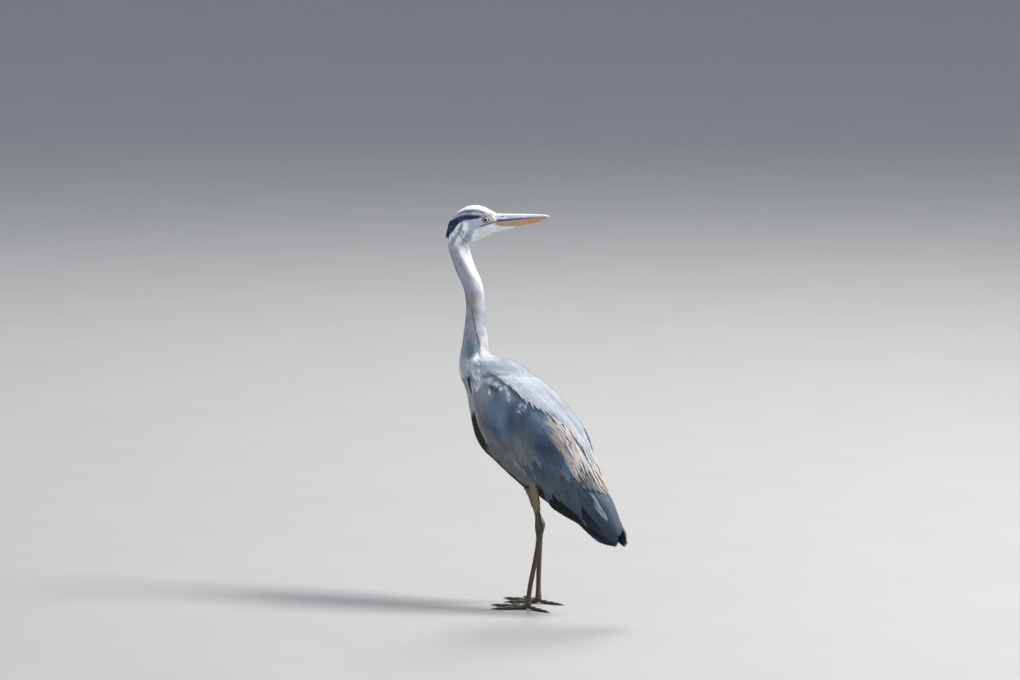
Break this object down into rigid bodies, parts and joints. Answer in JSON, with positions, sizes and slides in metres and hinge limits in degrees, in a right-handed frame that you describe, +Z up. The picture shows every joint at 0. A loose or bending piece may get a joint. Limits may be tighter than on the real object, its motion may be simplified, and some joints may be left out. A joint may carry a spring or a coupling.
{
  "type": "grey heron",
  "caption": "Life-size still model of a grey heron standing upright on long legs, neck extended and head turned back over its folded wings.",
  "frame": {"origin": "on the floor under the centre of the bird's bounding box", "axes": "+Z up; the body faces -Y, its left side is +X, and the head is turned back to look along +Y and a little towards -X"},
  "size_m": [0.1488, 0.4252, 0.7893],
  "materials": {
    "plumage_grey": "matte feathers, blue-grey with taupe and pale lavender plumes",
    "plumage_pale": "soft matte feathers, white to pale blue-grey with dark streaks",
    "plumage_dark": "matte slate-black flight and tail feathers with a faint sheen",
    "bill_upper_horn": "smooth horn, dark grey with a paler ridge",
    "bill_lower_horn": "smooth horn, orange-brown",
    "eye": "wet gloss, yellow-orange iris round a black pupil",
    "leg_scales": "dry scaly skin, dark brown-grey",
    "claw": "dark horn"
  },
  "bodies": {
    "root": {"bill_lower": "bill_lower_horn", "bill_upper": "bill_upper_horn", "claw_hind_left": "claw", "claw_hind_right": "claw", "claw_inner_left": "claw", "claw_inner_right": "claw", "claw_middle_left": "claw", "claw_middle_right": "claw", "claw_outer_left": "claw", "claw_outer_right": "claw", "eye_left": "eye", "eye_right": "eye", "foot_left": "leg_scales", "foot_right": "leg_scales", "head": "plumage_pale", "neck_lower": "plumage_pale", "neck_middle": "plumage_pale", "neck_upper": "plumage_pale", "primaries_left": "plumage_dark", "primaries_right": "plumage_dark", "shank_left": "leg_scales", "shank_right": "leg_scales", "tail": "plumage_dark", "tarsus_left": "leg_scales", "tarsus_right": "leg_scales", "thigh_left": "plumage_pale", "thigh_right": "plumage_pale", "trunk": "plumage_grey", "wing_left": "plumage_grey", "wing_right": "plumage_grey"}
  },
  "joints": []
}
